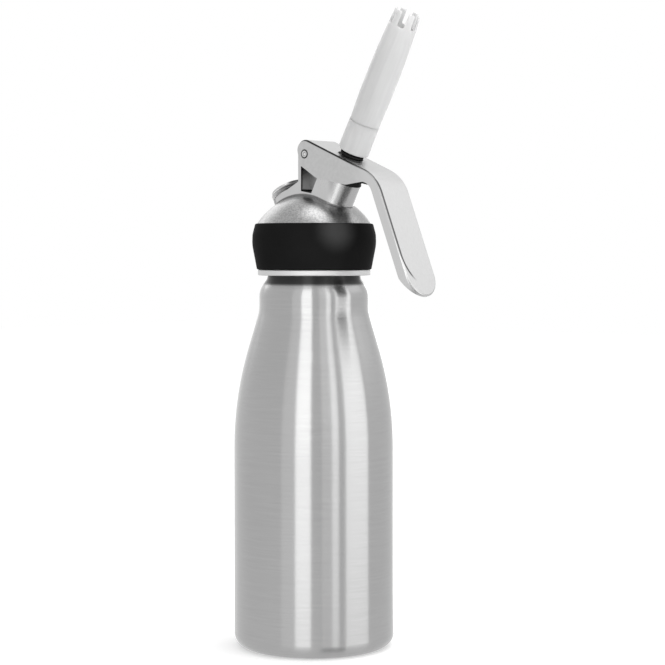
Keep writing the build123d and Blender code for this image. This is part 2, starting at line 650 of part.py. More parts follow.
def mouth_slots(mouth):
    """Slots that leave the teeth of the mouth."""
    half = TIP_SLOT_WIDTH / 2
    floor = mouth - TIP_SLOT_DEPTH
    profile = FilletPolyline((-half, mouth + OVERCUT), (-half, floor), (half, floor),
                             (half, mouth + OVERCUT), close=True,
                             radius=[0, TIP_SLOT_FLOOR_ROUND, TIP_SLOT_FLOOR_ROUND, 0])
    cutter = extrude(make_face(Plane.XZ * profile), 2 * TIP_MOUTH_R)
    step = 360 / TIP_TEETH
    return Part() + [Rot(0, 0, (tooth + 0.5) * step) * cutter for tooth in range(TIP_TEETH)]


# ================================================================ lever
def lever_lines(inset):
    """Corners that the plate and the handle share; inset moves them inside the wall."""
    slope = radians(LEVER_TOP_SLOPE)
    lean = radians(HANDLE_LEAN)
    rise = LEVER_TOP_RISE - inset
    outer_point = (PIVOT_X + LEVER_TOP_RISE * sin(slope), PIVOT_Z + LEVER_TOP_RISE * cos(slope))
    top_point = (PIVOT_X + rise * sin(slope), PIVOT_Z + rise * cos(slope))
    bend = line_meet(outer_point, -LEVER_TOP_SLOPE, (BEND_X, PIVOT_Z), 90)
    along = HANDLE_LENGTH - inset
    on_handle = (bend[0] - inset * cos(lean), bend[1] - inset * sin(lean))
    tip = (on_handle[0] + along * sin(lean), on_handle[1] - along * cos(lean))
    return top_point, line_meet(top_point, -LEVER_TOP_SLOPE, on_handle, HANDLE_LEAN - 90), tip


def handle_point(tip, back, depth):
    """Point of the side view measured from the tip: back along the handle and in from its face."""
    lean = radians(HANDLE_LEAN)
    return (tip[0] - back * sin(lean) - depth * cos(lean), tip[1] + back * cos(lean) - depth * sin(lean))


def lever_outside():
    top_point, bend, tip = lever_lines(0)
    rear_low = (PIVOT_X - CHEEK_REAR_BACK, PIVOT_Z - CHEEK_REAR_DROP)
    rear_top = line_meet(rear_low, 90 + LEVER_REAR_LEAN, top_point, -LEVER_TOP_SLOPE)
    slant_top = handle_point(tip, LEVER_WIDTH / 2, HANDLE_DEPTH)
    throat = line_meet((BEND_X, CHEEK_THROAT_Z), 0, slant_top, HANDLE_LEAN - 90)
    corners = [rear_low, rear_top, bend, tip, handle_point(tip, 0, TIP_DEPTH), slant_top, throat,
               (CHEEK_LOW_X, CHEEK_LOW_Z), (CHEEK_STEP_X, CHEEK_STEP_Z)]
    rounds = [0, LEVER_REAR_ROUND, BEND_ROUND, 0, 0, TIP_SLANT_ROUND,
              THROAT_ROUND, CHEEK_LOW_ROUND, CHEEK_LOW_ROUND]
    blank = side_prism(corners, LEVER_WIDTH / 2, rounds) & handle_plan(tip, LEVER_WIDTH / 2, 0)
    return fillet(plate_edges(blank), LEVER_EDGE_ROUND)


def plate_edges(blank):
    """Straight side edges of the top plate; the fillet follows them round the bend and the tip."""
    top_z = PIVOT_Z - PIN_R
    return blank.edges().filter_by(GeomType.LINE).filter_by(
        lambda edge: edge.length > LEVER_WIDTH and abs(edge.center().Y) > BLOCK_HALF
        and edge.center().Z > top_z)


def lever_inside():
    """The hollow under the plate, open below and behind."""
    outer_tip = lever_lines(0)[2]
    top_point, bend, tip = lever_lines(LEVER_WALL)
    slope = radians(LEVER_TOP_SLOPE)
    behind = (top_point[0] - FAR * cos(slope), top_point[1] + FAR * sin(slope))
    past_tip = handle_point(tip, -OVERCUT, 0)
    corners = [(behind[0], past_tip[1]), behind, bend, past_tip]
    hollow = side_prism(corners, LEVER_WIDTH / 2 - LEVER_WALL, [0, 0, BEND_ROUND - LEVER_WALL, 0])
    return hollow & handle_plan(outer_tip, LEVER_WIDTH / 2 - LEVER_WALL, LEVER_WALL)


def handle_plan(tip, half_width, setback):
    """Prism square to the handle, with the half-round end that the handle has in plan."""
    lean = radians(HANDLE_LEAN)
    plane = Plane(origin=(tip[0], 0, tip[1]), x_dir=(-sin(lean), 0, cos(lean)),
                  z_dir=(cos(lean), 0, sin(lean)))
    strip = Pos(setback + half_width + FAR / 2, 0) * Rectangle(FAR, 2 * half_width)
    plan = strip + Pos(setback + half_width, 0) * Circle(half_width)
    return extrude(plane * plan, FAR, both=True)


def lever():
    body = lever_outside()
    body -= lever_inside()
    hole = rod(LEVER_HOLE_R, plate_underside() - 2 * LEVER_WALL, TIP_BASE)
    body -= NOZZLE * Pos(-LEVER_HOLE_SHIFT, 0, 0) * hole
    body -= Plane.XZ * Pos(PIVOT_X, PIVOT_Z, 0) * Cylinder(PIN_R + PIN_RUNNING_FIT, LEVER_WIDTH + OVERCUT)
    return body


def lever_pin():
    """Plain pin with dimpled ends, fixed in the tower; the lever turns on it."""
    half = LEVER_WIDTH / 2 + PIN_PROUD
    body = Cylinder(PIN_R, 2 * half)
    body = fillet(body.edges().filter_by(GeomType.CIRCLE), PIN_EDGE)
    for end in (-1, 1):
        body -= Pos(0, 0, end * half) * Sphere(PIN_DIMPLE_R)
    return Plane.XZ * Pos(PIVOT_X, PIVOT_Z, 0) * body


NODES = {
    "bottle_shell": bottle_shell,
    "head_casting": head_casting,
    "grip_band": grip_band,
    "head_gasket": head_gasket,
    "charger_port_sleeve": charger_port_sleeve,
    "piercing_pin": piercing_pin,
    "charger_seal": charger_seal,
    "inlet_valve_body": inlet_valve_body,
    "inlet_valve_sleeve": inlet_valve_sleeve,
    "valve_seat_ring": valve_seat_ring,
    "valve_guide": valve_guide,
    "guide_o_ring": guide_o_ring,
    "gland_cap": gland_cap,
    "lever_pin": lever_pin,
    "lever": lever,
    "valve_stem": valve_stem,
    "stem_seal": stem_seal,
    "seal_retainer": seal_retainer,
    "return_spring": return_spring,
    "pressure_collar": pressure_collar,
    "nozzle_adapter": nozzle_adapter,
    "tip_washer": tip_washer,
    "tip_collar": tip_collar,
    "decorator_tip": decorator_tip,
}

os.makedirs("parts", exist_ok=True)
for name, make in NODES.items():
    save(make(), name)
print("collar top", round(collar_top(), 3), "lever arm of the valve",
      round(NOZZLE.to_local_coords(Vector(PIVOT_X, 0, PIVOT_Z)).X, 3))
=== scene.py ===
# %% [markdown]
# # A whipped cream dispenser, dressed for its portrait
#
# The frame below holds every piece of the dispenser at its real size: a steel bottle, a cast
# head with a black grip band, a squeeze lever on a pin, a port for the gas charger, a valve on
# a slanted axis and a white decorator tip.  This lesson gives each piece the finish that its
# maker gives it and then builds a small white studio round them.  Lengths are metres, on the
# pieces written as millimetres times MM, angles are written in degrees, and +Z is up.

# %% Load the frame
from math import cos, radians, sin

import bpy
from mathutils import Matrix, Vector


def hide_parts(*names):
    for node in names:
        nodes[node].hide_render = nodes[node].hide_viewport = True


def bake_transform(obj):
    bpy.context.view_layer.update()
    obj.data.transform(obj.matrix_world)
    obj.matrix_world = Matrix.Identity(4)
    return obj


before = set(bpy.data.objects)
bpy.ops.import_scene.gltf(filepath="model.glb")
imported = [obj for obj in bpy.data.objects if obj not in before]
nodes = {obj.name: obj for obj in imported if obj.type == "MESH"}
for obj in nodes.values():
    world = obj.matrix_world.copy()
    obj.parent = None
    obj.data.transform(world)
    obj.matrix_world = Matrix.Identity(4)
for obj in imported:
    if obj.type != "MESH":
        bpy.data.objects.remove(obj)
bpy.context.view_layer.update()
MM = 0.001
print("pieces in the frame:", len(nodes))

# %% [markdown]
# ## Arithmetic on sockets
#
# A procedural finish is mostly arithmetic: stretch this noise, take it from one, multiply it
# by a little roughness.  Wired by hand that is a wall of Math nodes.  It reads better as
# Python, so a small class wraps a node's output socket and lets +, - and * add the Math nodes.
# The reflected forms are there too, so that 1 - grain works as well as grain - 1.  Operations
# without a sign of their own get a name.


# %% A socket that can be calculated with
class Signal:
    """One output socket of a node tree."""

    def __init__(self, nodes_of, socket):
        self.nodes_of = nodes_of
        self.socket = socket

    def maths(self, operation, *values):
        numbered = dict(enumerate(values))
        return self.nodes_of.node("ShaderNodeMath", {"operation": operation}, numbered)

    def __add__(self, other):
        return self.maths("ADD", self, other)

    def __radd__(self, other):
        return self.maths("ADD", other, self)

    def __sub__(self, other):
        return self.maths("SUBTRACT", self, other)

    def __rsub__(self, other):
        return self.maths("SUBTRACT", other, self)

    def __mul__(self, other):
        return self.maths("MULTIPLY", self, other)

    def __rmul__(self, other):
        return self.maths("MULTIPLY", other, self)

    def __abs__(self):
        return self.maths("ABSOLUTE", self)

    def at_least(self, other):
        return self.maths("MAXIMUM", self, other)

    def square_root(self):
        return self.maths("SQRT", self)


# %% [markdown]
# ## One way to add a node
#
# Every other node comes from one method.  It takes the node's type, its settings, which are
# set first, and then the values or signals that go into its sockets.  The same method serves
# the materials, the floor and the world.


# %% A node tree that grows by short calls
DARK_AT, LIGHT_AT = 0.3, 0.7


class NodeTree:
    """The nodes of a material or of the world."""

    def __init__(self, tree):
        self.tree = tree

    def node(self, kind, settings=None, sockets=None, output=0):
        made = self.tree.nodes.new(kind)
        for key, value in (settings or {}).items():
            if key == "stops":
                fill_ramp(made.color_ramp, value)
            else:
                setattr(made, key, value)
        for key, value in (sockets or {}).items():
            self.feed(made.inputs[key], value)
        return Signal(self, made.outputs[output])

    def feed(self, socket, value):
        if isinstance(value, Signal):
            self.tree.links.new(value.socket, socket)
        else:
            socket.default_value = value

    def step(self, value, low, high):
        """A soft step: 0 where the value is at low, 1 where it is at high."""
        return self.node("ShaderNodeMapRange", {"interpolation_type": "SMOOTHSTEP"},
                         {"Value": value, "From Min": low, "From Max": high})

    def blend(self, factor, first, second):
        """Mixes two colours, each a signal, a grey or a red, green and blue."""
        return self.node("ShaderNodeMix", {"data_type": "RGBA"},
                         {0: factor, 6: as_colour(first), 7: as_colour(second)}, output=2)

    def ramp(self, factor, stops):
        return self.node("ShaderNodeValToRGB", {"stops": stops}, {"Fac": factor})

    def shades(self, noise, dark, light):
        """Spreads two colours over a noise, whose values lie mostly between 0.3 and 0.7."""
        return self.ramp(noise, [(DARK_AT, dark), (LIGHT_AT, light)])


def as_colour(value):
    """Turns a grey or a red, green and blue into the four numbers of a colour socket."""
    if isinstance(value, float):
        return (value, value, value, 1)
    if isinstance(value, tuple):
        return (*value, 1)
    return value


def fill_ramp(ramp, stops):
    """Gives a colour ramp its two (position, colour) stops."""
    for element, (position, colour) in zip(ramp.elements, stops):
        element.position = position
        element.color = as_colour(colour)


# %% [markdown]
# ## A finish
#
# A finish is a material whose main shader is the Principled BSDF.  Its even values, such as
# how metallic it is, are set straight on the shader's sockets.  What varies over the surface,
# such as a cloudy colour or a fine grain, arrives as a signal.  A few measures of the surface
# come up again and again: a noise of a given fineness, one coordinate of the point, how far
# the point lies from a centre, and how far the surface is turned towards a direction.


# %% The finish helper
class Finish(NodeTree):
    """A node material with one Principled shader."""

    def __init__(self, name, **even_values):
        self.material = bpy.data.materials.new(name)
        self.material.use_nodes = True
        super().__init__(self.material.node_tree)
        self.shader = self.tree.nodes["Principled BSDF"]
        for socket_name, value in even_values.items():
            self.set(socket_name.replace("_", " "), value)

    def set(self, socket_name, value):
        self.feed(self.shader.inputs[socket_name], value)

    def point(self):
        """The point on the object, in metres."""
        return self.node("ShaderNodeTexCoord", output="Object")

    def noise(self, fineness, detail=2.0):
        """Noise with this many waves a metre along x, y and z."""
        stretched = self.node("ShaderNodeVectorMath", {"operation": "MULTIPLY"},
                              {0: self.point(), 1: fineness})
        return self.noise_at(stretched, detail)

    def noise_at(self, place, detail=2.0):
        """Noise with one wave for each unit of a place."""
        return self.node("ShaderNodeTexNoise",
                         sockets={"Vector": place, "Scale": 1.0, "Detail": detail})

    def axis(self, letter):
        """One coordinate of the point on the object, in metres."""
        return self.node("ShaderNodeSeparateXYZ", sockets={0: self.point()}, output=letter)

    def above(self, letter, level, fade):
        """0 below a level of one coordinate and 1 above it, with a soft step."""
        return self.step(self.axis(letter), level - fade, level + fade)

    def within(self, letter, half, fade):
        """1 where a coordinate is near 0, either side, and 0 where it is half or more away."""
        return self.step(abs(self.axis(letter)), half, half - fade)

    def offset_from(self, centre):
        """The way from a centre to the point on the object."""
        return self.node("ShaderNodeVectorMath", {"operation": "SUBTRACT"},
                         {0: self.point(), 1: centre})

    def distance_from(self, centre, squash=(1, 1, 1)):
        """How far the point is from a centre, in metres; a 0 in the squash leaves out an axis."""
        kept = self.node("ShaderNodeVectorMath", {"operation": "MULTIPLY"},
                         {0: self.offset_from(centre), 1: squash})
        return self.node("ShaderNodeVectorMath", {"operation": "LENGTH"}, {0: kept},
                         output="Value")

    def part_along(self, vector, direction):
        """How much of a vector points along a direction."""
        return self.node("ShaderNodeVectorMath", {"operation": "DOT_PRODUCT"},
                         {0: vector, 1: direction}, output="Value")

    def facing(self, direction, low, high):
        """0 to 1 as the surface turns to face a direction; low and high are cosines."""
        normal = self.node("ShaderNodeNewGeometry", output="Normal")
        return self.step(self.part_along(normal, direction), low, high)

    def turned_sideways(self, low, high):
        """0 to 1 as the surface turns away from the middle plane, to either side."""
        normal = self.node("ShaderNodeNewGeometry", output="Normal")
        return self.step(abs(self.part_along(normal, (0, 1, 0))), low, high)

    def bump(self, height, distance):
        """Raises the surface by height times distance metres."""
        self.set("Normal", self.node("ShaderNodeBump",
                                     sockets={"Height": height, "Distance": distance}))


# %% [markdown]
# ## Brushed bottle
#
# The bottle is spun from stainless sheet and then turned against an abrasive belt, so its
# hair-fine scratches run round it.  Such scratches blur a reflection up and down and leave it
# sharp from side to side, which is why a brushed bottle shows upright bands of light.  The
# shader has a value for that, Anisotropic, and a quarter turn of its rotation points the blur
# up the bottle.  The scratches themselves are noise squeezed flat: stretched round the bottle
# and fine along its height.  A second, coarser noise of the same kind darkens a stroke here and
# there.  The groove above the shoulder, where no belt reaches, is duller, and its colour is
# painted dark as the shade under the head's rim; the thread above it keeps a lighter plain grey.

# %% Finish of the bottle
SCRATCH_WAVES, SCRATCH_DEPTH = (25, 25, 9000), 0.004 * MM
STROKE_WAVES, STROKE_SHARE = (60, 60, 1600), 0.10
CLOUD_WAVES = (18, 18, 9)
BELT_GREYS = (0.395, 0.425)
NECK_LOW, NECK_FADE = 178.6 * MM, 0.8 * MM
GROOVE_TOP, GROOVE_FADE = 186 * MM, 1.5 * MM
GROOVE_SHADE_GREY, THREAD_GREY = 0.068, 0.25
BELT_ROUGHNESS, SCRATCH_ROUGHNESS, NECK_ROUGHNESS = 0.22, 0.07, 0.12
QUARTER_TURN = 0.25

bottle_finish = Finish("satin_bottle_steel", Metallic=1.0, Anisotropic=1.0,
                       Anisotropic_Rotation=QUARTER_TURN)
scratches = bottle_finish.noise(SCRATCH_WAVES, detail=3.0)
clouds = bottle_finish.noise(CLOUD_WAVES)
strokes = bottle_finish.noise(STROKE_WAVES, detail=1.0)
brushed = bottle_finish.shades(clouds, *BELT_GREYS)
brushed = bottle_finish.blend(STROKE_SHARE * strokes, brushed, 0.0)
neck = bottle_finish.above("Z", NECK_LOW, NECK_FADE)
on_thread = bottle_finish.above("Z", GROOVE_TOP, GROOVE_FADE)
# painted shade: the groove under the head's rim is painted dark, the thread keeps its own grey
neck_shade_and_tone = bottle_finish.blend(on_thread, GROOVE_SHADE_GREY, THREAD_GREY)
bottle_finish.set("Base Color", bottle_finish.blend(neck, brushed, neck_shade_and_tone))
dullness = SCRATCH_ROUGHNESS * scratches + NECK_ROUGHNESS * neck
bottle_finish.set("Roughness", BELT_ROUGHNESS + dullness)
bottle_finish.bump(scratches, SCRATCH_DEPTH)
print("bottle finish has", len(bottle_finish.tree.nodes), "nodes")

# %% [markdown]
# ## Bead-blasted head
#
# The head is one investment casting, but its surfaces are not treated alike.  The dome is
# blasted with glass beads, which leaves a pearly skin with a fine grain and wide soft lights.
# The flat block on top is ground and then blasted lightly, so it is brighter.  The round boss
# in front, which holds the valve, is turned, and its front is painted a little darker as shade,
# and the rim under the grip band is turned bright.  The pockets in the tower and the root of the
# block, where it meets the dome, are painted with shade, blackest along the pockets' edges.
# One material tells these zones apart by place: by the distance from the dome's centre, by the
# height, and by the distance from the middle of the block.

# %% Where the head's zones lie
BORDER = 0.1 * MM
DOME_CENTRE, DOME_R = (0, 0, 190.0 * MM), 33.5 * MM
ROOT_WIDTH, ROOT_FADE = 0.5 * MM, 0.15 * MM
RIM_TOP = 185.9 * MM
BLOCK_HALF = 9.7 * MM
BOSS_BACK, BOSS_FRONT, BOSS_FADE = 12.0 * MM, 18.0 * MM, 1.5 * MM

head_finish = Finish("blasted_head_steel", Metallic=1.0)
from_dome = head_finish.distance_from(DOME_CENTRE)
block = head_finish.step(from_dome, DOME_R + ROOT_WIDTH, DOME_R + 2 * ROOT_WIDTH)
root = head_finish.step(from_dome, DOME_R, DOME_R + ROOT_FADE) * (1 - block)
rim = 1 - head_finish.above("Z", RIM_TOP, BORDER)
boss = block * head_finish.above("X", BOSS_BACK, 2 * BORDER)
boss_front = block * head_finish.above("X", BOSS_FRONT, BOSS_FADE)
print("zones of the head: rim, dome, root, block and boss")

# %% [markdown]
# Each side of the tower has a pocket, cast and left as it came.  The pocket is found where the
# block's surface lies deeper than its outer faces and looks sideways, and it is painted with a
# mottled shade.  The darkest painted shade lies on the rim of its end wall, which is known by
# facing forward, and on its floor and its roof.
# Both fall towards the front, and a step on a point's height plus a share of its depth tells on
# which side of such a tilted plane the point lies.  Masks by place need no unwrapping.

# %% Where the tower's pockets lie
POCKET_HALF = 9.0 * MM
POCKET_BACK = -1.0 * MM
POCKET_MOUTH = 8.7 * MM
POCKET_FLOOR, FLOOR_FALL = 224.9 * MM, 0.176
POCKET_ROOF, ROOF_FALL = 237.6 * MM, 0.625
POCKET_TOP = 238.4 * MM
FORWARD = (1, 0, 0)

in_tower = block - boss
pocket = head_finish.turned_sideways(0.5, 0.7) * in_tower
pocket = pocket * head_finish.within("Y", POCKET_HALF, 2 * BORDER)
height, depth = head_finish.axis("Z"), head_finish.axis("X")
end_rim = head_finish.facing(FORWARD, 0.8, 0.95)
end_rim = end_rim * (1 - head_finish.within("Y", POCKET_MOUTH, 2 * BORDER))
low = head_finish.step(height + FLOOR_FALL * depth, POCKET_FLOOR + 2 * BORDER, POCKET_FLOOR)
high = head_finish.step(height + ROOF_FALL * depth, POCKET_ROOF, POCKET_ROOF + 2 * BORDER)
corner = end_rim.at_least(low.at_least(high)) * in_tower
corner = corner * head_finish.within("Y", BLOCK_HALF - BORDER, BORDER)
corner = corner * head_finish.above("X", POCKET_BACK, BORDER)
corner = corner * (1 - head_finish.above("Z", POCKET_TOP, BORDER))
print("pockets from", POCKET_FLOOR, "to", POCKET_TOP, "m")

# %% [markdown]
# The colours go over one another in order, from the dome's skin to the rim, each through its own
# mask.  The bead marks are a fine noise that darkens the pits and raises the surface, less on
# the ground block than on the dome.

# %% Finish of the head
GRAIN_WAVES, GRAIN_DEPTH = (1200, 1200, 1200), 0.06 * MM
PATCH_WAVES = (90, 90, 90)
DOME_GREYS = (0.33, 0.39)
PIT_GREY, PITS_FROM, PITS_TO = 0.27, 0.60, 0.40
BLOCK_GREYS, BOSS_SHADE_GREY, RIM_GREY = (0.49, 0.53), 0.41, 0.60
ROOT_SHADE_GREY, ROOT_SHADE_SHARE = 0.08, 0.7
POCKET_SHADE_GREYS = [(0.35, 0.17), (0.65, 0.38)]
CORNER_SHADE_GREY, CORNER_SHADE_SHARE = 0.01, 0.95
BEAD_ROUGHNESS, PATCH_ROUGHNESS, RIM_ROUGHNESS, BOSS_SHINE = 0.27, 0.06, 0.28, 0.04
GROUND_AWAY = 0.7

grain = head_finish.noise(GRAIN_WAVES)
patches = head_finish.noise(PATCH_WAVES, detail=3.0)
skin = head_finish.shades(patches, *DOME_GREYS)
skin = head_finish.blend(head_finish.step(grain, PITS_FROM, PITS_TO), skin, PIT_GREY)
skin = head_finish.blend(block, skin, head_finish.shades(patches, *BLOCK_GREYS))
# painted shade: the boss's front is painted darker, which damps its highlight
skin = head_finish.blend(boss_front, skin, BOSS_SHADE_GREY)
# painted shade along the root of the block, where it meets the dome
skin = head_finish.blend(ROOT_SHADE_SHARE * root, skin, ROOT_SHADE_GREY)
# painted shade in the pockets, mottled by the patches
skin = head_finish.blend(pocket, skin, head_finish.ramp(patches, POCKET_SHADE_GREYS))
# painted shade, blackest, along the pockets' edges
skin = head_finish.blend(CORNER_SHADE_SHARE * corner, skin, CORNER_SHADE_GREY)
skin = head_finish.blend(rim, skin, RIM_GREY)
head_finish.set("Base Color", skin)
dullness = PATCH_ROUGHNESS * patches + RIM_ROUGHNESS * rim - BOSS_SHINE * boss
head_finish.set("Roughness", BEAD_ROUGHNESS + dullness)
head_finish.bump(grain * (1 - GROUND_AWAY * block), GRAIN_DEPTH)
print("head finish has", len(head_finish.tree.nodes), "nodes")

# %% [markdown]
# ## Lever sheet
#
# The lever is stamped from sheet and tumbled, so it is brighter and flatter in tone than the
# dome, with a short grain along its length.  The press leaves a crease where the broad plate
# turns down into its cheeks, and the crease is painted dark as shade, darkest beside the pivot.
# The painted line runs down one edge of the handle, the side towards -Y, and curls inward before
# the round end.  The crease is a mask: the points that lie as far from the middle plane as the
# crease does, and past the start of its curl the points that lie on an arc.  A mask follows the
# sheet round its bend, where a modelled groove would need very fine faces.

# %% Where the lever's crease runs
PLATE_END, HANDLE_START = 30 * MM, 46 * MM
CREASE_AT_PLATE, CREASE_AT_HANDLE = 10.40 * MM, 10.0 * MM
CREASE_HALF, CREASE_CORE = 0.75 * MM, 0.30 * MM
CURL_R = 19 * MM
CURL_START = (62.4 * MM, 0, 193.5 * MM)
CURL_FADE_FROM, CURL_FADE_TO = 9 * MM, 14 * MM
HANDLE_LEAN = radians(21.7)
HANDLE_FACE = (cos(HANDLE_LEAN), 0, sin(HANDLE_LEAN))
DOWN_THE_HANDLE = (sin(HANDLE_LEAN), 0, -cos(HANDLE_LEAN))
OUTWARD = (0.6, 0.0, 0.8)

lever_finish = Finish("tumbled_lever_steel", Metallic=1.0)
to_the_left = lever_finish.axis("Y")
near_side = lever_finish.step(to_the_left, 0.0, -1.0 * MM)
outside = lever_finish.facing(OUTWARD, 0.1, 0.3)
on_handle = lever_finish.step(lever_finish.axis("X"), PLATE_END, HANDLE_START)
beyond = lever_finish.part_along(lever_finish.offset_from(CURL_START), DOWN_THE_HANDLE)
beyond = beyond.at_least(0.0)
before_end = lever_finish.step(beyond, CURL_FADE_TO, CURL_FADE_FROM)
crease_at = CREASE_AT_PLATE + on_handle * (CREASE_AT_HANDLE - CREASE_AT_PLATE)
aside = (abs(to_the_left) - (crease_at - CURL_R)).at_least(0.0)
reach = (aside * aside + beyond * beyond).square_root()
crease = lever_finish.step(abs(reach - CURL_R), CREASE_HALF, CREASE_CORE)
crease_shade_side = near_side + (1 - near_side) * (1 - on_handle)
crease = crease * outside * before_end * crease_shade_side
print("the crease curls on a radius of", CURL_R, "m")

# %% [markdown]
# Inside, the tumbling stones hardly touch the sheet and it stays dull; it is also painted darker
# as shade, except round the throat between cheek and handle.  The handle's side walls are painted
# a little lighter than its face and the folded edge between them is painted darker, as light and
# shade fall on them, and near the round end that edge carries a painted highlight.  The inside is
# told from the outside by its distance to the middle plane and by the way it faces, and walls and
# edges by how far the surface has turned sideways.

# %% Where the lever is dull and where its painted shade and highlight fall
SHEET_INSIDE, SHEET_FADE = 9.95 * MM, 0.03 * MM
HANDLE_END, END_FADE = 184 * MM, 1.5 * MM
EDGE_HIGHLIGHT_BELOW, EDGE_HIGHLIGHT_FADE = 197 * MM, 11 * MM
THROAT, THROAT_R = (35 * MM, 0, 235 * MM), 9 * MM
ALONG_SECTION = (1, 0, 1)

from_throat = lever_finish.distance_from(THROAT, ALONG_SECTION)
inside = lever_finish.within("Y", SHEET_INSIDE, SHEET_FADE) * (1 - outside)
inside = inside * lever_finish.above("Z", HANDLE_END, END_FADE)
inside = inside * lever_finish.step(from_throat, THROAT_R, THROAT_R + MM)
wall = on_handle * lever_finish.turned_sideways(0.7, 0.9)
edge = on_handle * lever_finish.turned_sideways(0.15, 0.40)
edge = edge * lever_finish.facing(HANDLE_FACE, 0.15, 0.40)
painted_edge_highlight = edge * before_end * (1 - lever_finish.above("Z", EDGE_HIGHLIGHT_BELOW, EDGE_HIGHLIGHT_FADE))
print("worn below", EDGE_HIGHLIGHT_BELOW, "m")

# %% [markdown]
# The sheet's own tone hardly varies, and the masks lay the painted light, shades and highlight
# over it.  The crease is also pressed into the surface, so the bump falls where the mask rises.

# %% Finish of the lever
TUMBLE_WAVES, TUMBLE_DEPTH = (600, 2500, 600), 0.003 * MM
SHEET_GREYS = (0.47, 0.51)
LIT_WALL_GREY, EDGE_SHADE_GREY, EDGE_HIGHLIGHT_GREY, INSIDE_SHADE_GREY = 0.56, 0.38, 0.60, 0.15
CREASE_SHADE_PLATE, CREASE_SHADE_HANDLE = 0.01, 0.08
CREASE_DEPTH = 20.0
SHEET_ROUGHNESS, TUMBLE_ROUGHNESS, INSIDE_ROUGHNESS = 0.27, 0.08, 0.2

tumbling = lever_finish.noise(TUMBLE_WAVES)
sheet = lever_finish.shades(tumbling, *SHEET_GREYS)
# painted light: the handle's side walls lighter than its face
sheet = lever_finish.blend(wall, sheet, LIT_WALL_GREY)
# painted shade on the folded edge
sheet = lever_finish.blend(edge, sheet, EDGE_SHADE_GREY)
# painted highlight on that edge near the round end
sheet = lever_finish.blend(painted_edge_highlight, sheet, EDGE_HIGHLIGHT_GREY)
# painted shade inside the lever
sheet = lever_finish.blend(inside, sheet, INSIDE_SHADE_GREY)
# painted shade along the crease, on one side of the handle only
crease_shade = lever_finish.blend(on_handle, CREASE_SHADE_PLATE, CREASE_SHADE_HANDLE)
sheet = lever_finish.blend(crease, sheet, crease_shade)
lever_finish.set("Base Color", sheet)
dullness = TUMBLE_ROUGHNESS * tumbling + INSIDE_ROUGHNESS * inside
lever_finish.set("Roughness", SHEET_ROUGHNESS + dullness)
lever_finish.bump(tumbling - CREASE_DEPTH * crease, TUMBLE_DEPTH)
print("lever finish has", len(lever_finish.tree.nodes), "nodes")

# %% [markdown]
# ## Turned steel, brass and wire
#
# The small metal pieces come off a lathe, which leaves fine rings on them, and they are a
# little brighter than the casting.  The spring's wire is drawn through a die and its marks are
# shallower.  One recipe serves them all: it takes the metal's colour, its roughness and the
# depth of the marks.

# %% Finishes of the small metal pieces
RING_WAVES, RING_SHADE = (400, 400, 4000), 0.9
TOOL_ROUGHNESS = 0.1
TURNED_DEPTH, DRAWN_DEPTH = 0.004 * MM, 0.002 * MM


def turned_metal(name, colour, roughness, ring_depth):
    finish = Finish(name, Metallic=1.0)
    rings = finish.noise(RING_WAVES, detail=1.0)
    darker = tuple(RING_SHADE * part for part in colour)
    finish.set("Base Color", finish.blend(rings, colour, darker))
    finish.set("Roughness", roughness + TOOL_ROUGHNESS * rings)
    finish.bump(rings, ring_depth)
    return finish


turned_finish = turned_metal("turned_steel", (0.56, 0.56, 0.56), 0.24, TURNED_DEPTH)
brass_finish = turned_metal("turned_brass", (0.72, 0.52, 0.25), 0.25, TURNED_DEPTH)
wire_finish = turned_metal("spring_wire", (0.55, 0.55, 0.56), 0.25, DRAWN_DEPTH)
print("three turned metals")

# %% [markdown]
# The pin's ends are rounded over and dimpled, and the rounding holds a ring of painted shade.
# The thread of the charger port is painted dark as shade where it faces the tower and the tip,
# and bright elsewhere.

# %% Finish of the pin
PIVOT = (3.2 * MM, 0, 242 * MM)
RING_IN, RING_OUT, PIN_RING_SHADE_GREY = 1.40 * MM, 1.70 * MM, 0.06
WEAR_WAVES, WEAR_DEPTH = (900, 900, 900), 0.004 * MM
WEAR_GREYS, PIN_ROUGHNESS = (0.5, 0.6), 0.25

pin_finish = Finish("pin_steel", Metallic=1.0)
from_pivot = pin_finish.distance_from(PIVOT, ALONG_SECTION)
pin_ring_shade = pin_finish.step(from_pivot, RING_IN, RING_OUT)
wear = pin_finish.noise(WEAR_WAVES)
worn_steel = pin_finish.shades(wear, *WEAR_GREYS)
# painted shade: a dark ring in the rounding of the pin's ends
pin_finish.set("Base Color", pin_finish.blend(pin_ring_shade, worn_steel, PIN_RING_SHADE_GREY))
pin_finish.set("Roughness", PIN_ROUGHNESS + TOOL_ROUGHNESS * wear)
pin_finish.bump(wear, WEAR_DEPTH)
print("pin finish has", len(pin_finish.tree.nodes), "nodes")

# %% Finish of the port
AWAY_FROM_TOWER = (-0.5, -0.85, 0)
TURNING_WAVES, TURNING_DEPTH = (700, 700, 2500), 0.01 * MM
PORT_SHADE_GREY, BRIGHT_GREYS, PORT_ROUGHNESS = 0.11, (0.42, 0.62), 0.28

port_finish = Finish("port_steel", Metallic=1.0)
turning = port_finish.noise(TURNING_WAVES)
lit_side = port_finish.facing(AWAY_FROM_TOWER, 0.25, 0.55)
bright_steel = port_finish.shades(turning, *BRIGHT_GREYS)
# painted shade on the side that faces the tower and the tip
port_finish.set("Base Color", port_finish.blend(lit_side, PORT_SHADE_GREY, bright_steel))
port_finish.set("Roughness", PORT_ROUGHNESS + TOOL_ROUGHNESS * turning)
port_finish.bump(turning, TURNING_DEPTH)
print("port finish has", len(port_finish.tree.nodes), "nodes")

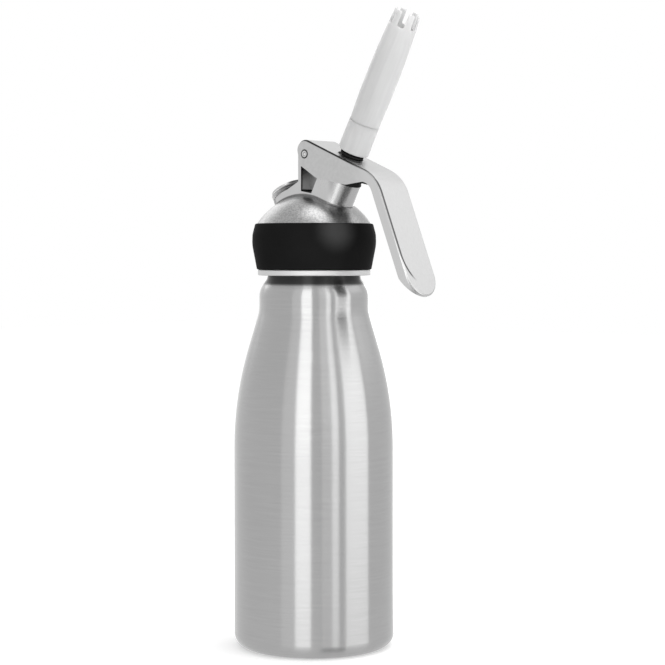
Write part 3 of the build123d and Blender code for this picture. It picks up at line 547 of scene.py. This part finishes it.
# %% [markdown]
# ## Rubber and black plastic
#
# The grip band and the seals are silicone: nearly black, with a broad dull sheen and a faint
# moulded texture.  The band's shoulder on the lever's side carries a painted highlight, a greyer
# patch.  The cap and the adapter are black nylon, a little harder; the adapter's black also
# stands for the shade in the cavity under the lever.

# %% Finishes of the black pieces
BAND_HIGHLIGHT_AT = (26.6 * MM, -13.6 * MM, 205.0 * MM)
BAND_HIGHLIGHT_REACH, BAND_HIGHLIGHT_CORE, BAND_HIGHLIGHT_GREY = 13 * MM, 1.3 * MM, 0.055
TEXTURE_WAVES, TEXTURE_DEPTH = (1500, 1500, 1500), 0.008 * MM
SMEAR_WAVES, SMEAR_SHADE, SMEAR_ROUGHNESS = (60, 60, 60), 1.3, 0.12


def dull_black(name, grey, roughness, highlight_at=None):
    finish = Finish(name, Specular_IOR_Level=0.01)
    texture = finish.noise(TEXTURE_WAVES)
    smears = finish.noise(SMEAR_WAVES)
    black = finish.shades(smears, grey, SMEAR_SHADE * grey)
    # painted highlight on the band's shoulder
    if highlight_at:
        from_highlight = finish.distance_from(highlight_at)
        painted_highlight = finish.step(from_highlight, BAND_HIGHLIGHT_REACH, BAND_HIGHLIGHT_CORE)
        black = finish.blend(painted_highlight, black, BAND_HIGHLIGHT_GREY)
    finish.set("Base Color", black)
    finish.set("Roughness", roughness + SMEAR_ROUGHNESS * smears)
    finish.bump(texture, TEXTURE_DEPTH)
    return finish


band_finish = dull_black("silicone_band", 0.009, 0.5, BAND_HIGHLIGHT_AT)
seal_finish = dull_black("black_seal", 0.006, 0.5)
cap_finish = dull_black("black_nylon", 0.02, 0.45)
print("three black finishes")

# %% [markdown]
# ## Off-white tip
#
# The tip is moulded polypropylene, a milky plastic that light enters a little way.  The melt
# ran along the mould and left faint streaks, so the noise is drawn out along the nozzle's axis.
# Its foot and its spout are two mouldings, and the seam between them shows as a thin ring.

# %% Finishes of the white plastics
CROSSING = (0, 0, 194.8 * MM)
NOZZLE_LEAN = radians(27.5)
NOZZLE_AXIS = (sin(NOZZLE_LEAN), 0, cos(NOZZLE_LEAN))
NOZZLE_SIDE = (cos(NOZZLE_LEAN), 0, -sin(NOZZLE_LEAN))
SEAM_AT, SEAM_HALF, SEAM_CORE = 69.4 * MM, 0.6 * MM, 0.18 * MM
SEAM_SHADE, STREAK_DARK, STREAK_LIGHT = 0.95, 0.97, 1.06
MOULD_ROUGHNESS, STREAK_ROUGHNESS = 0.36, 0.10
WAVES_ACROSS, WAVES_ALONG, FLOW_DEPTH = 450, 25, 0.02 * MM
LIGHT_DEPTH = 4 * MM


def milky_plastic(name, grey, subsurface):
    finish = Finish(name, Subsurface_Weight=subsurface, Subsurface_Radius=(1, 1, 1),
                    Subsurface_Scale=LIGHT_DEPTH, Specular_IOR_Level=0.3)
    offset = finish.offset_from(CROSSING)
    along = finish.part_along(offset, NOZZLE_AXIS)
    across = finish.part_along(offset, NOZZLE_SIDE)
    drawn_out = finish.node("ShaderNodeCombineXYZ", sockets={
        "X": across * WAVES_ACROSS,
        "Y": finish.axis("Y") * WAVES_ACROSS,
        "Z": along * WAVES_ALONG,
    })
    flow = finish.noise_at(drawn_out)
    seam = finish.step(abs(along - SEAM_AT), SEAM_HALF, SEAM_CORE)
    moulded = finish.shades(flow, STREAK_DARK * grey, STREAK_LIGHT * grey)
    finish.set("Base Color", finish.blend(seam * flow, moulded, SEAM_SHADE * grey))
    finish.set("Roughness", MOULD_ROUGHNESS + STREAK_ROUGHNESS * flow)
    finish.bump(flow, FLOW_DEPTH)
    return finish


tip_finish = milky_plastic("milky_tip", 0.60, 0.8)
bearing_finish = milky_plastic("white_bearing", 0.75, 0.0)
print("two white plastics")

# %% [markdown]
# ## Finishes onto pieces
#
# Each piece of the frame has one material slot, and dressing it means putting the finish there.

# %% Dress the frame's pieces
DRESS = {
    bottle_finish: ["bottle_shell"],
    head_finish: ["head_casting"],
    lever_finish: ["lever"],
    pin_finish: ["lever_pin"],
    port_finish: ["charger_port_sleeve"],
    turned_finish: ["piercing_pin", "valve_stem", "seal_retainer", "pressure_collar"],
    brass_finish: ["inlet_valve_body"],
    band_finish: ["grip_band"],
    seal_finish: ["head_gasket", "charger_seal", "inlet_valve_sleeve", "guide_o_ring",
                  "stem_seal", "tip_washer"],
    # the adapter's black partly stands for the shade in the cavity under the lever
    cap_finish: ["gland_cap", "nozzle_adapter"],
    tip_finish: ["tip_collar", "decorator_tip"],
    bearing_finish: ["valve_seat_ring", "valve_guide"],
}


def dress(mesh, finish):
    """Puts a finish on a mesh in place of what it had."""
    mesh.materials.clear()
    mesh.materials.append(finish.material)


for finish, names in DRESS.items():
    for name in names:
        dress(nodes[name].data, finish)
print("dressed", sum(len(names) for names in DRESS.values()), "pieces")

# %% [markdown]
# ## A spring of drawn wire
#
# The spring is coiled from wire between the guide, which belongs to the head, and the stem,
# which slides.  When the lever is squeezed its lower end has to stay and its upper end has to
# go down with the stem.  Here a copy of the coil takes the place of the frame's spring, dressed
# in drawn wire, with its placing baked into its points.


def new_object(name, data):
    """An object that holds the data and stands in the scene."""
    made = bpy.data.objects.new(name, data)
    bpy.context.scene.collection.objects.link(made)
    return made


plain_spring = nodes["return_spring"]
spring = new_object("spring_coil", plain_spring.data.copy())
spring.matrix_world = plain_spring.matrix_world.copy()
dress(spring.data, wire_finish)
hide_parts("return_spring")
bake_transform(spring)
print("spring has", len(spring.data.vertices), "points")

# %% [markdown]
# ## The camera
#
# The dispenser is seen from its right front, from a little under the middle of the lever, with
# a long lens that keeps the bottle's sides almost parallel.  Places in the studio are given by
# an azimuth round the bottle: 0 is the front, towards -Y, and 90 is the handle's side, +X.

# %% Camera
CAMERA_AZIMUTH = 41.0
CAMERA_DISTANCE = 0.915
CAMERA_HEIGHT = 0.1954
CAMERA_PITCH = 2.54
CAMERA_YAW = 0.564
CAMERA_LENS = 100.6


def round_the_bottle(azimuth, distance, height):
    turn = radians(azimuth)
    return Vector((distance * sin(turn), -distance * cos(turn), height))


camera = new_object("camera", bpy.data.cameras.new("camera"))
camera.data.lens = CAMERA_LENS
camera.location = round_the_bottle(CAMERA_AZIMUTH, CAMERA_DISTANCE, CAMERA_HEIGHT)
camera.rotation_euler = (radians(90 - CAMERA_PITCH), 0, radians(CAMERA_AZIMUTH - CAMERA_YAW))
bpy.context.scene.camera = camera
print("camera stands at", [round(part, 3) for part in camera.location])

# %% [markdown]
# ## A white room that lights plainly
#
# The background has to be white, but a white world would also flood the object with light.
# The Light Path node tells the two jobs apart.  Rays from the camera, and rays mirrored in the
# steel or passed through, see white, so the metal shows the same white room as the background.
# Every other ray carries diffuse light and sees a plainer grey room.

# %% World
ROOM_LEVEL, SEEN_LEVEL = 0.60, 1.0


def seen_or_mirrored(tree):
    """1 for camera, glossy and transmission rays, 0 for the rays that carry diffuse light."""
    camera_ray, glossy, passed = (tree.node("ShaderNodeLightPath", output=f"Is {ray} Ray")
                                  for ray in ("Camera", "Glossy", "Transmission"))
    return camera_ray.at_least(glossy.at_least(passed))


world = bpy.data.worlds.new("studio")
bpy.context.scene.world = world
bpy.context.scene.view_settings.view_transform = "Standard"
world.use_nodes = True
room = NodeTree(world.node_tree)
grey_room = room.node("ShaderNodeBackground", sockets={"Color": as_colour(ROOM_LEVEL)})
white_room = room.node("ShaderNodeBackground", sockets={"Color": as_colour(SEEN_LEVEL)})
either = room.node("ShaderNodeMixShader",
                   sockets={0: seen_or_mirrored(room), 1: grey_room, 2: white_room})
room.feed(world.node_tree.nodes["World Output"].inputs["Surface"], either)
print("world has", len(world.node_tree.nodes), "nodes")

# %% [markdown]
# ## Floor
#
# The floor is a wide matt sheet.  It keeps the soft shadow that the bottle casts on it.  Away
# from the lamps it would turn grey and show a horizon, so it glows faintly towards the camera,
# a little more as it runs away from the bottle.  Rays mirrored in the steel pass through it, so
# that the upright boxes, which reach below it, are seen down to the bottle's foot.  Four corners
# make the sheet, and the helper that joins them serves again for the black flag below.

# %% A flat sheet
CORNERS = ((-1, -1), (1, -1), (1, 1), (-1, 1))


def flat_sheet(name, half_width, half_depth, finish):
    """A level rectangle about its own middle."""
    mesh = bpy.data.meshes.new(name)
    mesh.from_pydata([(x * half_width, y * half_depth, 0) for x, y in CORNERS],
                     [], [(0, 1, 2, 3)])
    dress(mesh, finish)
    return new_object(name, mesh)


# %% Floor
FLOOR_HALF = 3.0
FLOOR_GREYS = (0.88, 0.89)
NEAR_GLOW, FAR_GLOW = 0.28, 0.50
GLOW_FROM, GLOW_TO = 0.15, 1.2
PAPER_WAVES = (700, 700, 700)

floor_finish = Finish("white_floor", Roughness=0.9, Specular_IOR_Level=0.0,
                      Emission_Strength=1.0)
paper = floor_finish.noise(PAPER_WAVES)
floor_finish.set("Base Color", floor_finish.shades(paper, *FLOOR_GREYS))
far_off = floor_finish.step(floor_finish.distance_from((0, 0, 0)), GLOW_FROM, GLOW_TO)
glow = floor_finish.blend(far_off, NEAR_GLOW, FAR_GLOW)
shown = seen_or_mirrored(floor_finish)
floor_finish.set("Emission Color", floor_finish.blend(shown, 0.0, glow))
floor = flat_sheet("floor", FLOOR_HALF, FLOOR_HALF, floor_finish)
floor.visible_glossy = False
print("floor", 2 * FLOOR_HALF, "m wide")

# %% [markdown]
# ## Soft boxes
#
# What shapes the metal is a few soft boxes, each a rectangle of even light.  An area lamp's
# power is spread over its face, so the power is worked out from the face and from the level,
# which is the brightness that a mirror would show there on top of the room.

# %% A soft box
WATTS_PER_LEVEL = 4  # for each square metre of the lamp's face


def soft_box(name, place, aim, width, tall, level):
    """A rectangular lamp at a place, turned to shine at the point that it aims at."""
    lamp = bpy.data.lights.new(name, "AREA")
    lamp.shape = "RECTANGLE"
    lamp.size = width
    lamp.size_y = tall
    lamp.energy = WATTS_PER_LEVEL * width * tall * level
    box = new_object(name, lamp)
    box.location = place
    box.rotation_euler = (Vector(aim) - place).to_track_quat("-Z", "Y").to_euler()
    box.visible_camera = False


# %% [markdown]
# Five boxes stand upright round the bottle, close enough for their light to run down to its
# foot.  A narrow one stands a little left of the camera, a slim one to its right and a broad
# one further round.  Each shows in the brushed steel as an upright band, and a dim fringe beside
# the first two lets their bands fade out on one side.  A wide box hangs over the dome, two lean
# in from behind, one over the port and one over the lever's handle, and a low strip behind the
# bottle draws a thin light along its edge.

# %% Set up the upright boxes
STAND, STAND_HEIGHT, STAND_TALL = 0.55, 0.35, 0.9
UPRIGHT_BOXES = {
    # name: azimuth from the camera's, width and level
    "near_strip": (-15.5, 0.21, 1.35),
    "near_fringe": (-36, 0.20, 0.2),
    "slim_box": (29.5, 0.09, 0.9),
    "slim_fringe": (18, 0.14, 0.25),
    "broad_box": (62.5, 0.36, 0.95),
}

for name, (swing, width, level) in UPRIGHT_BOXES.items():
    soft_box(name, round_the_bottle(CAMERA_AZIMUTH + swing, STAND, STAND_HEIGHT),
             (0, 0, STAND_HEIGHT), width, STAND_TALL, level)
print("upright boxes:", ", ".join(UPRIGHT_BOXES))

# %% Set up the boxes above and behind
DOME_TOP = Vector((0, 0, 0.22))
BEHIND = CAMERA_AZIMUTH + 180
BEHIND_THE_HANDLE = 150
OVER_REACH, OVER_HEIGHT, OVER_SHIFT = 0.22, 1.3, 0.17
REAR_REACH, REAR_HEIGHT = 0.8, 0.65
STRIP_HEIGHT = 0.1

to_the_right = round_the_bottle(CAMERA_AZIMUTH + 90, OVER_SHIFT, 0)
over_the_dome = round_the_bottle(BEHIND - 35, OVER_REACH, OVER_HEIGHT)
soft_box("overhead", over_the_dome + to_the_right, DOME_TOP + to_the_right,
         width=0.72, tall=1.15, level=1.9)
soft_box("rear_left", round_the_bottle(BEHIND + 25, REAR_REACH, REAR_HEIGHT),
         DOME_TOP, width=0.7, tall=0.45, level=0.8)
soft_box("handle_box", round_the_bottle(BEHIND_THE_HANDLE, REAR_REACH, REAR_HEIGHT),
         DOME_TOP, width=0.6, tall=0.42, level=0.42)
soft_box("rear_strip", round_the_bottle(BEHIND - 18, STAND, STRIP_HEIGHT),
         (0, 0, STRIP_HEIGHT), width=0.16, tall=0.4, level=1.0)
print("lamps in all:", len(bpy.data.lights))

# %% [markdown]
# ## A black flag
#
# Bright boxes alone would leave the turned boss and the groove of the bottle without a dark
# side.  In a studio a black flag, a sheet of velvet, is hung where the metal should mirror
# nothing.  This one lies low on the right, under the floor, and only the mirrors see it.

# %% Hang the flag
FLAG_HALF_WIDTH, FLAG_HALF_DEPTH = 0.44, 0.40
FLAG_AZIMUTH = CAMERA_AZIMUTH + 30
FLAG_DISTANCE, FLAG_HEIGHT = 1.37, -1.0
PILE_WAVES, PILE_GREYS = (300, 300, 300), (0.01, 0.02)

velvet = Finish("black_velvet", Specular_IOR_Level=0.0)
velvet.set("Base Color", velvet.shades(velvet.noise(PILE_WAVES), *PILE_GREYS))
flag = flat_sheet("flag", FLAG_HALF_WIDTH, FLAG_HALF_DEPTH, velvet)
flag.location = round_the_bottle(FLAG_AZIMUTH, FLAG_DISTANCE, FLAG_HEIGHT)
flag.rotation_euler = (0, 0, radians(FLAG_AZIMUTH))
flag.visible_camera = False
flag.visible_diffuse = False
flag.visible_shadow = False
print("flag", 2 * FLAG_HALF_WIDTH, "m wide")
